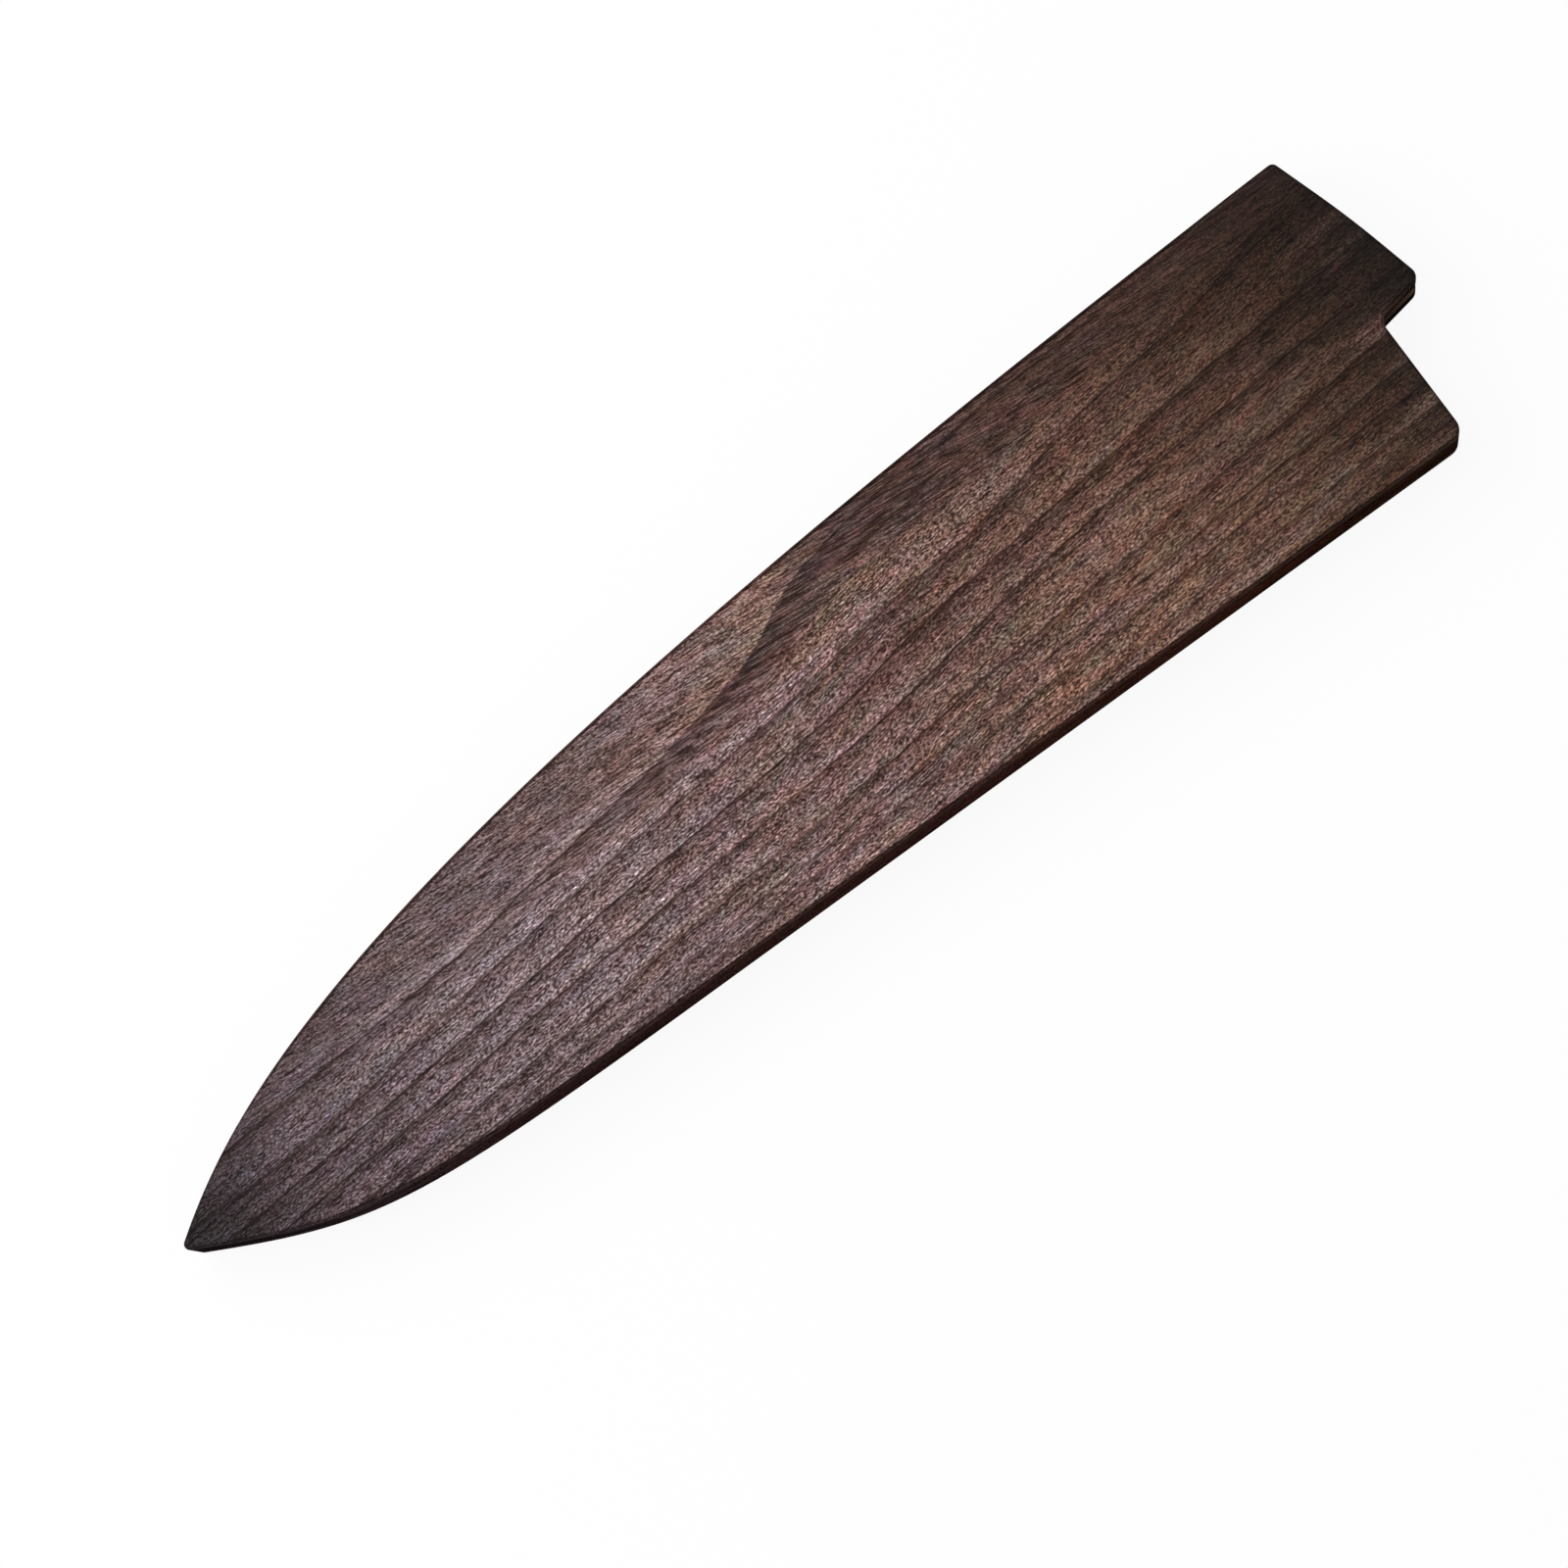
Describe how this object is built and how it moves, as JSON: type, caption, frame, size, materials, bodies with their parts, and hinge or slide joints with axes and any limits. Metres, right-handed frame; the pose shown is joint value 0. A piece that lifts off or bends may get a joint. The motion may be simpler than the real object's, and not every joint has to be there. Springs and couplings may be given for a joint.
{
  "type": "knife blade guard",
  "caption": "Flat laminated walnut sheath that covers a chef's knife blade, with a blade slot open at the handle end and magnets inside.",
  "frame": {"origin": "centre of the bottom of the bounding box, on the outer face of the back board", "axes": "+X along the guard from the tip to the open end, +Y from the spine side to the cutting-edge side, +Z through the thickness to the front face"},
  "size_m": [0.2562, 0.055, 0.0135],
  "materials": {
    "face_walnut": "oiled satin",
    "back_walnut": "oiled satin",
    "core_walnut": "sanded, oiled",
    "magnet_nickel": "nickel plated"
  },
  "bodies": {
    "root": {"front_board": "face_walnut", "back_board": "back_walnut", "edge_strip": "core_walnut", "spine_strip": "core_walnut", "magnet_1": "magnet_nickel", "magnet_2": "magnet_nickel", "magnet_3": "magnet_nickel", "magnet_4": "magnet_nickel"}
  },
  "joints": []
}
